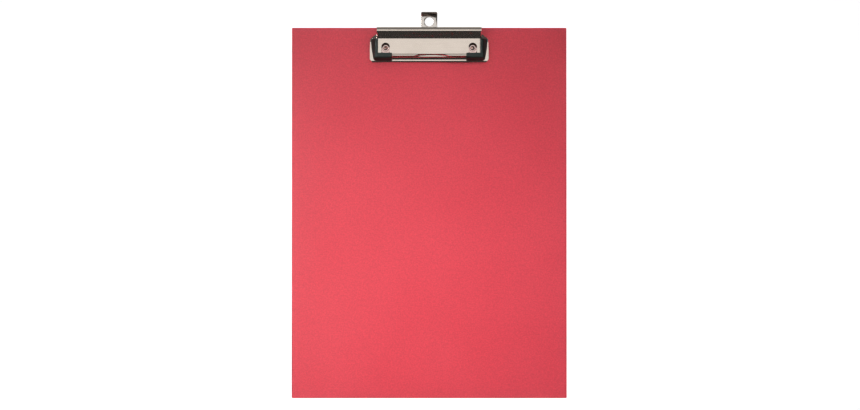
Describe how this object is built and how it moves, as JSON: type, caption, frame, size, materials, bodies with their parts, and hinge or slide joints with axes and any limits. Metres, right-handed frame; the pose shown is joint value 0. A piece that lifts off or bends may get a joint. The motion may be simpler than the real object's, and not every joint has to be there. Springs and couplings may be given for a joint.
{
  "type": "clipboard",
  "caption": "A4 clipboard: covered board with a riveted low-profile spring clip, black corner grips and a sliding hanging tab.",
  "frame": {"origin": "centre of the board's back face, which the clipboard lies on", "axes": "+Z out of the board's front face, +Y along the board towards the clip, +X to the right seen from the front"},
  "size_m": [0.23, 0.323, 0.0135],
  "materials": {
    "core": "plain",
    "cover": "fine matte grain",
    "lining": "matte",
    "nickel": "nickel plated, bright",
    "spring_steel": "drawn wire",
    "grip": "satin"
  },
  "bodies": {
    "board": {"board_core": "core", "front_cover": "cover", "back_lining": "lining", "base_plate": "nickel", "axle_pin": "spring_steel", "rivet_left": "nickel", "rivet_right": "nickel", "spring_left": "spring_steel", "spring_right": "spring_steel"},
    "jaw": {"jaw_plate": "nickel", "corner_left": "grip", "corner_right": "grip"},
    "tab": {"hanging_tab": "nickel"}
  },
  "joints": [
    {"name": "jaw_hinge", "type": "hinge", "parent": "board", "child": "jaw", "pos_m": [0, 0.1474, 0.0058], "axis": [-1, 0, 0], "range_deg": [0, 30], "stiffness_Nm_per_rad": 0.35, "springref_deg": -51.57, "deforming": ["spring_left", "spring_right"]},
    {"name": "tab_slide", "type": "slide", "parent": "board", "child": "tab", "axis": [0, 1, 0], "range_m": [-0.007, 0]}
  ]
}
